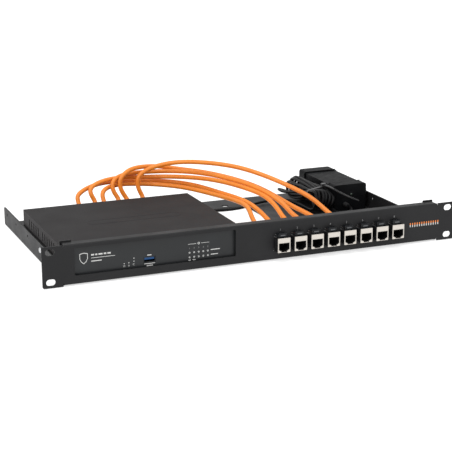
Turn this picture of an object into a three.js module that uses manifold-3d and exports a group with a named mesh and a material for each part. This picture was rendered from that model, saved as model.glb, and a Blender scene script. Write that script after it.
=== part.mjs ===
// Desktop firewall appliance in a one-unit 19-inch rack kit: front panel with eight keystone
// couplers, base pan and side arms, patch leads at the back, power adapter with its lead.
// Millimetres, +Z up, front faces -Y. Lengths along Y are measured from the panel's front face,
// and the whole group is shifted back at the end so that the origin is the middle of the base.
import * as THREE from 'three';
import { mergeVertices } from 'three/addons/utils/BufferGeometryUtils.js';
import Module from 'manifold-3d';

const wasm = await Module();
wasm.setup();

// ---- driving dimensions ----
const GAP = 0.3;

const PANEL = { halfWidth: 241.3, height: 43.6, thick: 1.5, earInner: 219.6, lift: 1.0, flange: 11, bend: 2.2 };
const SLOT = { x: 232.55, pitch: 31.75, width: 10, height: 7 };
const WINDOW = { x0: -207.3, x1: -29.5, z0: 10.3, z1: 39.5 };

const ARM = { outer: 219.3, thick: 1.5, height: 21, end: 266 };
const PAN = { x0: -217.4, x1: 217.4, y0: 13.3, thick: 1.5, gapX0: -12, gapX1: 80, gapY1: 226 };
const BRACKET = { y: 11.4, width: 11, top: 45.2 };

const BOX = { x0: -216.4, x1: -17.4, y0: 4, y1: 178, z0: 4, z1: 38.4, sheet: 1.2, seam: 8 };
const PORT = { pitch: 16, first: -140, count: 6, z: 13.5 };
const USB = { x: -125.5, z: 16.9, width: 13.1, height: 5.8 };
const DC = { x: -40, z: 13.5 };
const RESET = { x: -196, z: 15 };

const COUPLER = { first: 22.8, pitch: 20.06, count: 8, front: -10, back: 24, half: 7.35, z0: 11, z1: 27 };
const SOCKET = { z: 17.6, width: 12, height: 7.2, depth: 14 };
const LATCH = { half: 5, z0: 26.6, z1: 28.1, hinge: 19.4 };
const LEAD_RADIUS = 2.7;

const BRICK = { x0: 166, x1: 212.5, y0: 154, y1: 255, z0: 1.8, z1: 35, seam: 18, band: 17, relief: 1.8 };
const INLET = { z: 17.5, width: 27, height: 19.5, depth: 18 };
const HANK = { x0: 127.5, x1: 164, y0: 145, y1: 250, z0: 3.3, z1: 31 };
const DC_RADIUS = 1.8;
const DC_EXIT = { x: 182, z: 10 };
const TIE = { y: 172, width: 3.4, thick: 1.1 };

const Y_SHIFT = -(COUPLER.front + ARM.end) / 2;

// ---- materials ----
const steelBlack = () => new THREE.MeshStandardMaterial({ color: 0x363638, roughness: 0.55, metalness: 0.4 });
const coverGrey = () => new THREE.MeshStandardMaterial({ color: 0x454243, roughness: 0.6, metalness: 0.3 });
const fasciaBlack = () => new THREE.MeshStandardMaterial({ color: 0x303234, roughness: 0.35, metalness: 0.1 });
const blackPlastic = () => new THREE.MeshStandardMaterial({ color: 0x1c1e21, roughness: 0.45, metalness: 0 });
const satinPlastic = () => new THREE.MeshStandardMaterial({ color: 0x242426, roughness: 0.5, metalness: 0 });
const jacket = () => new THREE.MeshStandardMaterial({ color: 0xf0883a, roughness: 0.5, metalness: 0 });
const blackJacket = () => new THREE.MeshStandardMaterial({ color: 0x141416, roughness: 0.5, metalness: 0 });
const silver = () => new THREE.MeshStandardMaterial({ color: 0xe8e2da, roughness: 0.3, metalness: 0.9 });
const steelBright = () => new THREE.MeshStandardMaterial({ color: 0xb8babc, roughness: 0.3, metalness: 1 });
const boardGreen = () => new THREE.MeshStandardMaterial({ color: 0x1f5a34, roughness: 0.6, metalness: 0 });
const rubber = () => new THREE.MeshStandardMaterial({ color: 0x151515, roughness: 0.9, metalness: 0 });

// ---- solids ----
function solid(geometry) {
  const g = geometry.index ? geometry.toNonIndexed() : geometry;
  g.deleteAttribute('normal');
  g.deleteAttribute('uv');
  const m = mergeVertices(g, 1e-4);
  const mesh = new wasm.Mesh({
    numProp: 3,
    vertProperties: new Float32Array(m.attributes.position.array),
    triVerts: new Uint32Array(m.index.array),
  });
  mesh.merge();
  return new wasm.Manifold(mesh);
}

function box(x0, x1, y0, y1, z0, z1) {
  const g = new THREE.BoxGeometry(x1 - x0, y1 - y0, z1 - z0);
  g.translate((x0 + x1) / 2, (y0 + y1) / 2, (z0 + z1) / 2);
  return solid(g);
}

function roundedShape(x0, x1, y0, y1, r) {
  const s = new THREE.Shape();
  s.moveTo(x0 + r, y0);
  s.lineTo(x1 - r, y0);
  s.absarc(x1 - r, y0 + r, r, -Math.PI / 2, 0);
  s.lineTo(x1, y1 - r);
  s.absarc(x1 - r, y1 - r, r, 0, Math.PI / 2);
  s.lineTo(x0 + r, y1);
  s.absarc(x0 + r, y1 - r, r, Math.PI / 2, Math.PI);
  s.lineTo(x0, y0 + r);
  s.absarc(x0 + r, y0 + r, r, Math.PI, 1.5 * Math.PI);
  return s;
}

function extrude(shape, depth, segments = 5) {
  return new THREE.ExtrudeGeometry(shape, { depth, bevelEnabled: false, curveSegments: segments });
}

// An outline in X and Z, pushed along +Y from y0 to y1.
function alongY(shape, y0, y1, segments) {
  const g = extrude(shape, y1 - y0, segments);
  g.rotateX(Math.PI / 2);
  g.translate(0, y1, 0);
  return solid(g);
}

// An outline in X and Y, pushed along +Z.
function alongZ(shape, z0, z1, segments) {
  const g = extrude(shape, z1 - z0, segments);
  g.translate(0, 0, z0);
  return solid(g);
}

// An outline in Y and Z, pushed along +X.
function alongX(shape, x0, x1, segments) {
  const g = extrude(shape, x1 - x0, segments);
  g.rotateY(Math.PI / 2);
  g.rotateX(Math.PI / 2);
  g.translate(x0, 0, 0);
  return solid(g);
}

function plateXZ(x0, x1, z0, z1, r, y0, y1, segments) {
  return alongY(roundedShape(x0, x1, z0, z1, r), y0, y1, segments);
}

function plateXY(x0, x1, y0, y1, r, z0, z1, segments) {
  return alongZ(roundedShape(x0, x1, y0, y1, r), z0, z1, segments);
}

function plateYZ(y0, y1, z0, z1, r, x0, x1, segments) {
  return alongX(roundedShape(y0, y1, z0, z1, r), x0, x1, segments);
}

function rodY(x, z, r, y0, y1, sides = 16, r1 = r) {
  const g = new THREE.CylinderGeometry(r1, r, y1 - y0, sides);
  g.translate(0, (y0 + y1) / 2, 0);
  g.translate(x, 0, z);
  return solid(g);
}

function rodX(y, z, r, x0, x1, sides = 16, r1 = r) {
  const g = new THREE.CylinderGeometry(r1, r, x1 - x0, sides);
  g.rotateZ(-Math.PI / 2);
  g.translate((x0 + x1) / 2, y, z);
  return solid(g);
}

function rodZ(x, y, r, z0, z1, sides = 16) {
  const g = new THREE.CylinderGeometry(r, r, z1 - z0, sides);
  g.rotateX(Math.PI / 2);
  g.translate(x, y, (z0 + z1) / 2);
  return solid(g);
}

function union(parts) {
  return parts.reduce((a, b) => a.add(b));
}

function cut(body, tools) {
  return tools.reduce((a, b) => a.subtract(b), body);
}

const part = new THREE.Group();

function addNode(name, body, material) {
  const m = body.getMesh();
  const g = new THREE.BufferGeometry();
  g.setAttribute('position', new THREE.BufferAttribute(new Float32Array(m.vertProperties), 3));
  g.setIndex(new THREE.BufferAttribute(new Uint32Array(m.triVerts), 1));
  g.computeVertexNormals();
  const mesh = new THREE.Mesh(g, material);
  mesh.name = name;
  part.add(mesh);
}

// A tube of a round section along a hand-set route.
function tube(points, radius, sides, steps) {
  const curve = new THREE.CatmullRomCurve3(points.map((p) => new THREE.Vector3(...p)), false, 'centripetal');
  const section = new THREE.Shape();
  for (let i = 0; i < sides; i += 1) {
    const a = (2 * Math.PI * i) / sides;
    const x = radius * Math.cos(a);
    const y = radius * Math.sin(a);
    if (i === 0) section.moveTo(x, y);
    else section.lineTo(x, y);
  }
  section.closePath();
  return solid(new THREE.ExtrudeGeometry(section, { steps, bevelEnabled: false, extrudePath: curve }));
}

const couplerX = (i) => COUPLER.first + COUPLER.pitch * i;
const portX = (i) => PORT.first + PORT.pitch * i;

// ---- rack kit ----
function frontPanel() {
  const { halfWidth, height, thick, earInner, lift, flange, bend } = PANEL;
  const t = thick;
  const profile = new THREE.Shape();
  profile.moveTo(bend, lift);
  profile.lineTo(flange, lift);
  profile.lineTo(flange, lift + t);
  profile.lineTo(bend, lift + t);
  profile.absarc(bend, lift + bend, bend - t, -Math.PI / 2, -Math.PI, true);
  profile.lineTo(t, height - bend);
  profile.absarc(bend, height - bend, bend - t, Math.PI, Math.PI / 2, true);
  profile.lineTo(flange, height - t);
  profile.lineTo(flange, height);
  profile.lineTo(bend, height);
  profile.absarc(bend, height - bend, bend, Math.PI / 2, Math.PI, false);
  profile.lineTo(0, lift + bend);
  profile.absarc(bend, lift + bend, bend, Math.PI, 1.5 * Math.PI, false);
  const bar = alongX(profile, -earInner + 1, earInner - 1, 4);
  const middle = cut(bar, [
    box(-halfWidth, PAN.x0, t + 0.1, flange + 1, -1, BRACKET.top),
    box(PAN.x1, halfWidth, t + 0.1, flange + 1, -1, BRACKET.top),
  ]);
  const ears = plateXZ(-halfWidth, halfWidth, 0, height, 2, 0, t);
  const trimLow = box(-earInner, earInner, -1, t + 1, -1, lift + bend);
  const trimHigh = box(-earInner, earInner, -1, t + 1, height - bend, height + 1);
  let body = cut(ears, [trimLow, trimHigh]).add(middle);
  const tools = [];
  for (const sx of [-1, 1]) {
    for (const sz of [-1, 1]) {
      const x = sx * SLOT.x;
      const z = height / 2 + (sz * SLOT.pitch) / 2;
      const r = SLOT.height / 2 - 0.01;
      tools.push(plateXZ(x - SLOT.width / 2, x + SLOT.width / 2, z - r, z + r, r - 0.01, -1, t + 1));
    }
  }
  tools.push(plateXZ(WINDOW.x0, WINDOW.x1, WINDOW.z0, WINDOW.z1, 1.2, -1, t + 1, 3));
  for (let i = 0; i < COUPLER.count; i += 1) {
    const x = couplerX(i);
    tools.push(box(x - COUPLER.half - GAP, x + COUPLER.half + GAP, -1, t + 1, COUPLER.z0 - GAP, 29.4));
  }
  body = cut(body, tools);
  return body;
}

function sideArm(side) {
  const { outer, thick, height, end } = ARM;
  const x0 = side < 0 ? -outer : outer - thick;
  const x1 = x0 + thick;
  const wall = plateYZ(PANEL.thick + GAP, end, 0, height, 2.5, x0, x1, 4);
  const inner = side < 0 ? x1 : x0;
  const bx0 = side < 0 ? x0 : inner - BRACKET.width;
  const bx1 = side < 0 ? inner + BRACKET.width : x1;
  const tab = plateXZ(bx0, bx1, PAN.thick + GAP, BRACKET.top, 1, BRACKET.y + GAP, BRACKET.y + GAP + 1.3, 3);
  const foot = box(bx0, bx1, PANEL.thick + GAP, BRACKET.y + 1, 3, 4.2);
  const gusset = cut(foot, [box(BOX.x0 - GAP, BOX.x1, 0, 20, 0, 50)]);
  const holes = [];
  for (const y of [90, 150, 205, 250]) holes.push(rodX(y, 14.5, 1.7, -outer - 2, outer + 2, 12));
  return cut(union([wall, cut(tab, [box(BOX.x0 - GAP, BOX.x1, 0, 20, 0, BOX.z1 + GAP)]), gusset]), holes);
}

function basePan() {
  const p = PAN;
  const floor = plateXY(p.x0, p.x1, p.y0, ARM.end, 1, 0, p.thick, 3);
  const opening = plateXY(p.gapX0, p.gapX1, p.y0 + 12, p.gapY1, 5, -1, p.thick + 1, 4);
  const tools = [opening];
  for (const x of [-150, -60, 55]) tools.push(rodZ(x, 236, 4.5, -1, 3, 16));
  for (const x of [100, 120]) tools.push(plateXY(x, x + 4, 90, 120, 1.9, -1, 3, 4));
  return cut(floor, tools);
}

function armScrew() {
  const y = 90;
  const z = 14.5;
  const head = rodX(y, z, 3.2, -ARM.outer - 1.2, -ARM.outer - GAP, 16);
  const crown = rodX(y, z, 2.0, -ARM.outer - 2.2, -ARM.outer - 1.1, 16, 3.2);
  const shank = rodX(y, z, 1.35, -ARM.outer - 0.5, -ARM.outer + ARM.thick + 0.2, 12);
  const recess = union([
    box(-ARM.outer - 3, -ARM.outer - 1.3, y - 1.5, y + 1.5, z - 0.3, z + 0.3),
    box(-ARM.outer - 3, -ARM.outer - 1.3, y - 0.3, y + 0.3, z - 1.5, z + 1.5),
  ]);
  return cut(union([head, crown, shank]), [recess]);
}

// ---- firewall ----
function firewallBase() {
  const b = BOX;
  const s = b.sheet;
  const inset = s + GAP;
  const floor = box(b.x0, b.x1, b.y0 + 3.3, b.y1, b.z0, b.z0 + s);
  const left = box(b.x0, b.x0 + s, b.y0 + 3.3, b.y1, b.z0, b.seam - GAP);
  const right = box(b.x1 - s, b.x1, b.y0 + 3.3, b.y1, b.z0, b.seam - GAP);
  const rear = box(b.x0 + inset, b.x1 - inset, b.y1 - s, b.y1, b.z0, b.z1 - inset);
  const rearLow = box(b.x0, b.x1, b.y1 - s, b.y1, b.z0, b.seam - GAP);
  const first = portX(0) - PORT.pitch / 2;
  const last = portX(PORT.count - 1) + PORT.pitch / 2;
  const tools = [
    box(first - GAP, last + GAP, b.y1 - 5, b.y1 + 5, b.z0 + s + 0.2, 20.4 + GAP),
    box(DC.x - 6.3, DC.x + 6.3, b.y1 - 5, b.y1 + 5, b.z0 + s + 0.2, 20.1),
    rodY(RESET.x, RESET.z, 2.1, b.y1 - 5, b.y1 + 5, 16),
  ];
  for (let i = 0; i < 9; i += 1) {
    const x = -122 + i * 9;
    tools.push(plateXZ(x, x + 2.6, 24, 33, 1.2, b.y1 - 5, b.y1 + 5, 3));
  }
  return cut(union([floor, left, right, rear, rearLow]), tools);
}

function firewallCover() {
  const b = BOX;
  const s = b.sheet;
  const outer = plateXZ(b.x0, b.x1, b.seam, b.z1 + 6, 0.8, b.y0 + 3.3, b.y1, 3);
  const top = box(b.x0, b.x1, b.y0 + 3.3, b.y1, b.z1 - s, b.z1);
  const left = box(b.x0, b.x0 + s, b.y0 + 3.3, b.y1, b.seam, b.z1);
  const right = box(b.x1 - s, b.x1, b.y0 + 3.3, b.y1, b.seam, b.z1);
  const tools = [];
  const slotRows = [[111, 5, 9.9], [46, 6, 9.2]];
  for (const [start, count, pitch] of slotRows) {
    for (let i = 0; i < count; i += 1) {
      const y = start + i * pitch;
      tools.push(box(b.x0 - 2, b.x0 + 4, y - 1.6, y + 1.6, 23.5, 33.5));
      tools.push(box(b.x1 - 4, b.x1 + 2, y - 1.6, y + 1.6, 23.5, 33.5));
    }
  }
  return cut(union([top, left, right]).intersect(outer), tools);
}

function firewallFascia() {
  const b = BOX;
  const face = plateXZ(b.x0, b.x1, b.z0, b.z1, 1.5, b.y0, b.y0 + 3, 4);
  const hole = plateXZ(
    USB.x - USB.width / 2 - GAP, USB.x + USB.width / 2 + GAP,
    USB.z - USB.height / 2 - GAP, USB.z + USB.height / 2 + GAP, 0.5, b.y0 - 1, b.y0 + 5, 2);
  return cut(face, [hole]);
}

function mainBoard() {
  const b = BOX;
  return box(b.x0 + 4, b.x1 - 4, b.y0 + 5, b.y1 - 17, 7.2, 8.8);
}

// Rectangular socket with the stepped notch for a plug's latch, opening towards -Y or +Y.
function socketTool(x, z, y0, y1, notchDown) {
  const w = SOCKET.width / 2;
  const h = SOCKET.height / 2;
  const s = notchDown ? -1 : 1;
  const shallow = box(x - 4.6, x + 4.6, y0, y1, z - (s < 0 ? h + 0.9 : 0), z + (s > 0 ? h + 0.9 : 0));
  const deep = box(x - 3.1, x + 3.1, y0, y1, z - (s < 0 ? h + 2.2 : 0), z + (s > 0 ? h + 2.2 : 0));
  return union([box(x - w, x + w, y0, y1, z - h, z + h), shallow, deep]);
}

function rearJackBlock() {
  const first = portX(0) - PORT.pitch / 2;
  const last = portX(PORT.count - 1) + PORT.pitch / 2;
  const body = box(first, last, BOX.y1 - 16.5, BOX.y1 + 0.8, BOX.z0 + BOX.sheet + GAP, 20.4);
  const tools = [];
  for (let i = 0; i < PORT.count; i += 1) {
    tools.push(socketTool(portX(i), PORT.z, BOX.y1 - 14, BOX.y1 + 5, false));
  }
  return cut(body, tools);
}

function usbPort() {
  const w = USB.width / 2;
  const h = USB.height / 2;
  const shell = plateXZ(USB.x - w, USB.x + w, USB.z - h, USB.z + h, 0.5, BOX.y0 + 0.3, BOX.y0 + 16, 2);
  const cavity = box(USB.x - w + 0.5, USB.x + w - 0.5, BOX.y0 - 1, BOX.y0 + 12, USB.z - h + 0.5, USB.z + h - 0.5);
  const tongue = box(USB.x - w + 1.3, USB.x + w - 1.3, BOX.y0 + 1.5, BOX.y0 + 13, USB.z + 0.1, USB.z + 1.9);
  return shell.subtract(cavity).add(tongue);
}

function dcJack() {
  const y1 = BOX.y1 + 0.8;
  const body = box(DC.x - 6, DC.x + 6, BOX.y1 - 16, y1, BOX.z0 + BOX.sheet + GAP, 19.8);
  const bore = rodY(DC.x, DC.z, 3.3, BOX.y1 - 12, y1 + 2, 20);
  const pin = rodY(DC.x, DC.z, 1.0, BOX.y1 - 13, BOX.y1 - 1, 12);
  return body.subtract(bore).add(pin);
}

function resetButton() {
  const stem = rodY(RESET.x, RESET.z, 1.8, BOX.y1 - 3.2, BOX.y1 + 0.6, 16);
  const collar = rodY(RESET.x, RESET.z, 2.6, BOX.y1 - 4.6, BOX.y1 - 3.0, 16);
  return union([stem, collar]);
}

function foot(x, y) {
  return rodZ(x, y, 5.5, PAN.thick + GAP, BOX.z0 - GAP, 20);
}

// ---- keystone couplers ----
function coupler(i) {
  const x = couplerX(i);
  const c = COUPLER;
  const shell = plateXZ(x - c.half, x + c.half, c.z0, c.z1, 0.5, c.front, c.back, 2);
  const groove = box(x - LATCH.half - 0.5, x + LATCH.half + 0.5, c.front + 1.6, LATCH.hinge + GAP, 25, c.z1 + 2);
  const front = socketTool(x, SOCKET.z, c.front - 1, c.front + SOCKET.depth, true);
  const back = socketTool(x, SOCKET.z, c.back - SOCKET.depth, c.back + 1, true);
  const keep = box(x - c.half - 1.4, x - c.half + 0.5, PANEL.thick + GAP, 8, c.z0 + 3, c.z1 - 3);
  const keep2 = box(x + c.half - 0.5, x + c.half + 1.4, PANEL.thick + GAP, 8, c.z0 + 3, c.z1 - 3);
  return cut(union([shell, keep, keep2]), [groove, front, back]);
}

function couplerLatch(i) {
  const x = couplerX(i);
  const h = LATCH.half;
  const bar = box(x - h, x + h, -6.5, LATCH.hinge, LATCH.z0, LATCH.z1);
  const thumb = plateXZ(x - h, x + h, LATCH.z0, 31.2, 0.8, -6.5, -1.2, 3);
  const hook = box(x - h + 1.5, x + h - 1.5, PANEL.thick + GAP, 5, LATCH.z1 - 0.2, 31.4);
  return union([bar, thumb, hook]);
}

// ---- patch leads ----
// A plug with its boot, its nose at y0 and its lead leaving towards dir.
function patchPlug(x, z, y0, dir) {
  const at = (a, b) => (dir > 0 ? [y0 + a, y0 + b] : [y0 - b, y0 - a]);
  const nose = box(x - 5.7, x + 5.7, ...at(0, 14.5), z - 3.3, z + 3.3);
  const boot = plateXZ(x - 6.2, x + 6.2, z - 4.6, z + 4.6, 1.6, ...at(14.4, 24), 3);
  const neck = dir > 0
    ? rodY(x, z, 4.4, ...at(23.9, 34), 12, 3.4)
    : rodY(x, z, 3.4, ...at(23.9, 34), 12, 4.4);
  return union([nose, boot, neck]);
}

const PLUG_LENGTH = 34;
const FIREWALL_PLUG_Y = BOX.y1 - 12;
const PANEL_PLUG_Y = COUPLER.back - 12;
const LEAD_START = FIREWALL_PLUG_Y + PLUG_LENGTH + GAP;
const LEAD_END = COUPLER.back - 12 + PLUG_LENGTH + GAP;

// Routes between the ends, from the firewall's back to the couplers' backs. Each lead names its
// firewall port and its coupler.
const LEADS = [
  { port: 2, coupler: 0, route: [
    [-108, 221, 27.5], [-109, 224, 35.5], [-103, 229, 40.5], [-86, 236, 42.5], [-55, 238, 40], [-30, 228, 38.5],
    [-7, 203, 38], [14, 168, 35.5], [25, 116, 37.5], [25, 92, 36], [22, 76, 29.5]] },
  { port: 0, coupler: 1, route: [
    [-139, 221, 27.5], [-140, 224, 35.5], [-131, 229, 41], [-110, 240, 44.5], [-81, 245, 44.5],
    [-49, 246, 41.5], [-22, 237, 40.5], [3, 210, 39.5], [21, 175, 36.5], [32, 122, 37.5], [36, 97, 34],
    [39, 76, 28]] },
  { port: 1, coupler: 2, route: [
    [-118, 221, 26.5], [-123, 223, 36], [-123, 226, 43], [-112, 230, 48.5], [-86, 238, 50.5],
    [-54, 240, 48], [-29, 230, 48.5], [-3, 205, 50.5], [20, 172, 51.5], [42, 131, 48], [53, 104, 43.5],
    [58, 86, 34.5], [59, 75, 28]] },
  { port: 3, coupler: 3, route: [
    [-89, 221, 27.5], [-94, 223, 35.5], [-96, 225, 44.5], [-91, 228, 52], [-74, 235, 55], [-52, 238, 54.5],
    [-25, 230, 55], [2, 205, 56.5], [26, 171, 55.5], [48, 131, 51], [58, 105, 45.5], [67, 87, 37.5],
    [72, 73, 28]] },
  { port: 4, coupler: 4, route: [
    [-79, 221, 27.5], [-85, 222, 37], [-87, 223, 46.5], [-84, 223, 55], [-73, 226, 62], [-54, 231, 63],
    [-32, 238, 60], [-5, 233, 55], [17, 205, 55], [43, 171, 51], [61, 140, 45.5], [73, 115, 38],
    [83, 93, 31], [92, 77, 26.5]] },
  { port: 5, coupler: 5, route: [
    [-59, 220, 28], [-63, 221, 36], [-65, 222, 45], [-63, 222, 53.5], [-55, 222, 59.5], [-41, 221, 64.5],
    [-19, 211, 69.5], [7, 189, 71.5], [39, 158, 69.5], [66, 128, 61], [89, 105, 50], [105, 90, 40],
    [116, 75, 27.5]] },
];

function leadPoints(lead) {
  const start = [portX(lead.port), LEAD_START, PORT.z];
  const end = [couplerX(lead.coupler), LEAD_END, SOCKET.z];
  const out = [start[0], start[1] + 9, start[2] + 1.6];
  const back = [end[0], end[1] + 9, end[2] + 1];
  return [start, [start[0], start[1] + 3, start[2] + 0.1], out, ...lead.route, back, [end[0], end[1] + 3, end[2] + 0.1], end];
}

// ---- power adapter ----
function adapterBody(upper) {
  const b = BRICK;
  const core = box(b.x0 + b.relief, b.x1 - b.relief, b.y0 + b.band - 1, b.y1 - b.band + 1, b.z0, b.z1 - b.relief);
  const whole = plateXY(b.x0, b.x1, b.y0, b.y1, 3.5, b.z0, b.z1, 5);
  const near = whole.intersect(box(b.x0 - 1, b.x1 + 1, b.y0 - 1, b.y0 + b.band, b.z0 - 1, b.z1 + 1));
  const far = whole.intersect(box(b.x0 - 1, b.x1 + 1, b.y1 - b.band, b.y1 + 1, b.z0 - 1, b.z1 + 1));
  const body = union([core, near, far]);
  if (!upper) return body;
  const crown = plateXZ(b.x0 + 0.02, b.x1 - 0.02, b.z0 - 8, b.z1, 4.5, b.y0 - 1, b.y1 + 1, 5);
  return body.intersect(crown);
}

function inletTool(grow) {
  const x = (BRICK.x0 + BRICK.x1) / 2;
  const w = INLET.width / 2 + grow;
  const h = INLET.height / 2 + grow;
  return box(x - w, x + w, BRICK.y1 - INLET.depth - grow, BRICK.y1 + 2, INLET.z - h, INLET.z + h);
}

function adapterHalf(upper) {
  const b = BRICK;
  const z0 = upper ? b.seam + GAP / 2 : b.z0 - 1;
  const z1 = upper ? b.z1 + 1 : b.seam - GAP / 2;
  const side = box(b.x0 - 1, b.x1 + 1, b.y0 - 1, b.y1 + 1, z0, z1);
  const relief = rodY(DC_EXIT.x, DC_EXIT.z, 3.2 + GAP, b.y0 - 2, b.y0 + 4 + GAP, 16);
  return cut(adapterBody(upper).intersect(side), upper ? [inletTool(GAP)] : [inletTool(GAP), relief]);
}

function acInlet() {
  const x = (BRICK.x0 + BRICK.x1) / 2;
  const w = INLET.width / 2;
  const h = INLET.height / 2;
  const y1 = BRICK.y1 + 0.5;
  const y0 = BRICK.y1 - INLET.depth;
  const body = plateXZ(x - w, x + w, INLET.z - h, INLET.z + h, 1.5, y0, y1, 3);
  const cavity = plateXZ(x - w + 1.5, x + w - 1.5, INLET.z - h + 1.8, INLET.z + h - 1.8, 3, y0 + 2.5, y1 + 1, 3);
  const pins = [[0, 3.4], [-7, -3], [7, -3]].map(([dx, dz]) => (
    box(x + dx - 1, x + dx + 1, y0 + 1, y1 - 6, INLET.z + dz - 2, INLET.z + dz + 2)));
  return union([body.subtract(cavity), ...pins]);
}

function strainRelief() {
  const y = BRICK.y0;
  const collar = rodY(DC_EXIT.x, DC_EXIT.z, 3.2, y, y + 4, 14);
  const neck = rodY(DC_EXIT.x, DC_EXIT.z, 2.3, y - 9, y + 0.1, 14, 3.1);
  return union([collar, neck]);
}

function hank() {
  const h = HANK;
  const r = (h.x1 - h.x0) / 2 - 0.1;
  return plateXY(h.x0, h.x1, h.y0, h.y1, r, h.z0, h.z1, 8);
}

function cableTie() {
  const h = HANK;
  const t = TIE.thick;
  const y0 = TIE.y - TIE.width / 2;
  const y1 = TIE.y + TIE.width / 2;
  const ring = plateXZ(h.x0 - GAP - t, h.x1 + GAP + t, h.z0 - GAP - t, h.z1 + GAP + t, 0.8, y0, y1, 2);
  const inside = box(h.x0 - GAP, h.x1 + GAP, y0 - 1, y1 + 1, h.z0 - GAP, h.z1 + GAP);
  const head = box(158, 164, y0 - 1, y1 + 1, h.z1 + GAP, h.z1 + 4.6);
  const route = [[161.5, 172, 33.4], [162.2, 163, 33], [163.8, 155, 32.2], [170, 147, 28.4], [178, 139, 24], [188.6, 130, 19.4]];
  const curve = new THREE.CatmullRomCurve3(route.map((p) => new THREE.Vector3(...p)));
  const strip = roundedShape(-0.55, 0.55, -1.3, 1.3, 0.3);
  const tail = new THREE.ExtrudeGeometry(strip, { steps: 10, bevelEnabled: false, curveSegments: 1, extrudePath: curve });
  return union([ring.subtract(inside), head, solid(tail)]);
}

const DC_PLUG_END = BOX.y1 + 24;

const DC_ADAPTER_ROUTE = [
  [DC_EXIT.x, BRICK.y0 - 9 - GAP, DC_EXIT.z], [181.5, 137, 9], [177.5, 130.5, 7.6], [171, 129, 6.6],
  [164.8, 134.5, 6], [163, HANK.y0 - GAP - 0.4, 5.7],
];

const DC_DEVICE_ROUTE = [
  [HANK.x0 - GAP - 0.2, 226, 6], [120, 226, 5], [105, 226, 4.6], [90, 221, 4.6], [67, 206, 5], [36, 200, 6],
  [8, 204, 8], [-16, 214, 11], [-32, 217, 13], [-40, 211, DC.z], [DC.x, DC_PLUG_END + GAP, DC.z],
];

function dcPlug() {
  const y0 = BOX.y1 + 1.1;
  const barrel = rodY(DC.x, DC.z, 2.75, BOX.y1 - 8, y0 + 0.5, 16).subtract(rodY(DC.x, DC.z, 1.3, BOX.y1 - 9, y0, 12));
  const grip = rodY(DC.x, DC.z, 4.6, y0, y0 + 14, 16);
  const neck = rodY(DC.x, DC.z, 4.0, y0 + 13.9, DC_PLUG_END, 14, 2.4);
  return union([barrel, grip, neck]);
}

// ---- assembly ----
addNode('front_panel', frontPanel(), steelBlack());
addNode('base_pan', basePan(), steelBlack());
addNode('left_arm', sideArm(-1), steelBlack());
addNode('right_arm', sideArm(1), steelBlack());
addNode('arm_screw', armScrew(), steelBright());

addNode('firewall_base', firewallBase(), coverGrey());
addNode('firewall_cover', firewallCover(), coverGrey());
addNode('firewall_fascia', firewallFascia(), fasciaBlack());
addNode('main_board', mainBoard(), boardGreen());
addNode('rear_jack_block', rearJackBlock(), silver());
addNode('usb_port', usbPort(), silver());
addNode('dc_jack', dcJack(), blackPlastic());
addNode('reset_button', resetButton(), blackPlastic());
[[-204, 20], [-30, 20], [-204, 164], [-30, 164]].forEach(([x, y], i) => {
  addNode(`firewall_foot_${i + 1}`, foot(x, y), rubber());
});

for (let i = 0; i < COUPLER.count; i += 1) {
  addNode(`coupler_${i + 1}`, coupler(i), silver());
  addNode(`coupler_latch_${i + 1}`, couplerLatch(i), blackPlastic());
}

LEADS.forEach((lead, i) => {
  addNode(`patch_lead_${i + 1}`, tube(leadPoints(lead), LEAD_RADIUS, 8, 11), jacket());
  addNode(`firewall_plug_${i + 1}`, patchPlug(portX(lead.port), PORT.z, FIREWALL_PLUG_Y, 1), jacket());
  addNode(`panel_plug_${i + 1}`, patchPlug(couplerX(lead.coupler), SOCKET.z, PANEL_PLUG_Y, 1), jacket());
});

addNode('adapter_lower', adapterHalf(false), satinPlastic());
addNode('adapter_upper', adapterHalf(true), satinPlastic());
addNode('ac_inlet', acInlet(), blackPlastic());
addNode('dc_strain_relief', strainRelief(), blackPlastic());
addNode('dc_lead_adapter_side', tube(DC_ADAPTER_ROUTE, DC_RADIUS, 8, 6), blackJacket());
addNode('dc_lead_hank', hank(), blackJacket());
addNode('dc_lead_device_side', tube(DC_DEVICE_ROUTE, DC_RADIUS, 8, 12), blackJacket());
addNode('dc_plug', dcPlug(), blackPlastic());
addNode('cable_tie', cableTie(), blackPlastic());

part.position.set(0, Y_SHIFT, 0);

export default part;
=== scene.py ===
"""Looks of a desktop firewall appliance in a one-unit rack kit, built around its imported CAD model."""

import math

import bmesh
import bpy
from mathutils import Matrix, Vector


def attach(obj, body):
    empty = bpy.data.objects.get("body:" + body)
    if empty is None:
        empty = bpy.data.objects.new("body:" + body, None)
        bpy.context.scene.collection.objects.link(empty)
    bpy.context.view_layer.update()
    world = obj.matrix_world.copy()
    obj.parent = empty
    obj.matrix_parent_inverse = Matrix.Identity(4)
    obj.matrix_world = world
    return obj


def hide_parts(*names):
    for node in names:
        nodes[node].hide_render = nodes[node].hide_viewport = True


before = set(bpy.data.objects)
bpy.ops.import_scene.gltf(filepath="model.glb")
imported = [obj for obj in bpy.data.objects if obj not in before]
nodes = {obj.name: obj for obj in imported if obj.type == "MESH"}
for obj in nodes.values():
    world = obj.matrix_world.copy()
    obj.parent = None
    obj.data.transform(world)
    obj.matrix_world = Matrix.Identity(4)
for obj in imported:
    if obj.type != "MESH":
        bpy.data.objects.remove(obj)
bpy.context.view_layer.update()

# ---- sizes, in millimetres, with Y measured from the panel's front face as in the CAD ----
ROOT = "rack_kit"
Y_SHIFT = -128.0
COUPLER = {"first": 22.8, "pitch": 20.06, "count": 8, "front": -10.0, "back": 24.0}
SOCKET = {"z": 17.6, "width": 12.0, "height": 7.2, "depth": 13.6}
PORT = {"first": -140.0, "pitch": 16.0, "count": 6, "z": 13.5}
CASE = {"x0": -216.4, "x1": -17.4, "front": 4.0, "back": 178.0, "top": 38.4}
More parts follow.
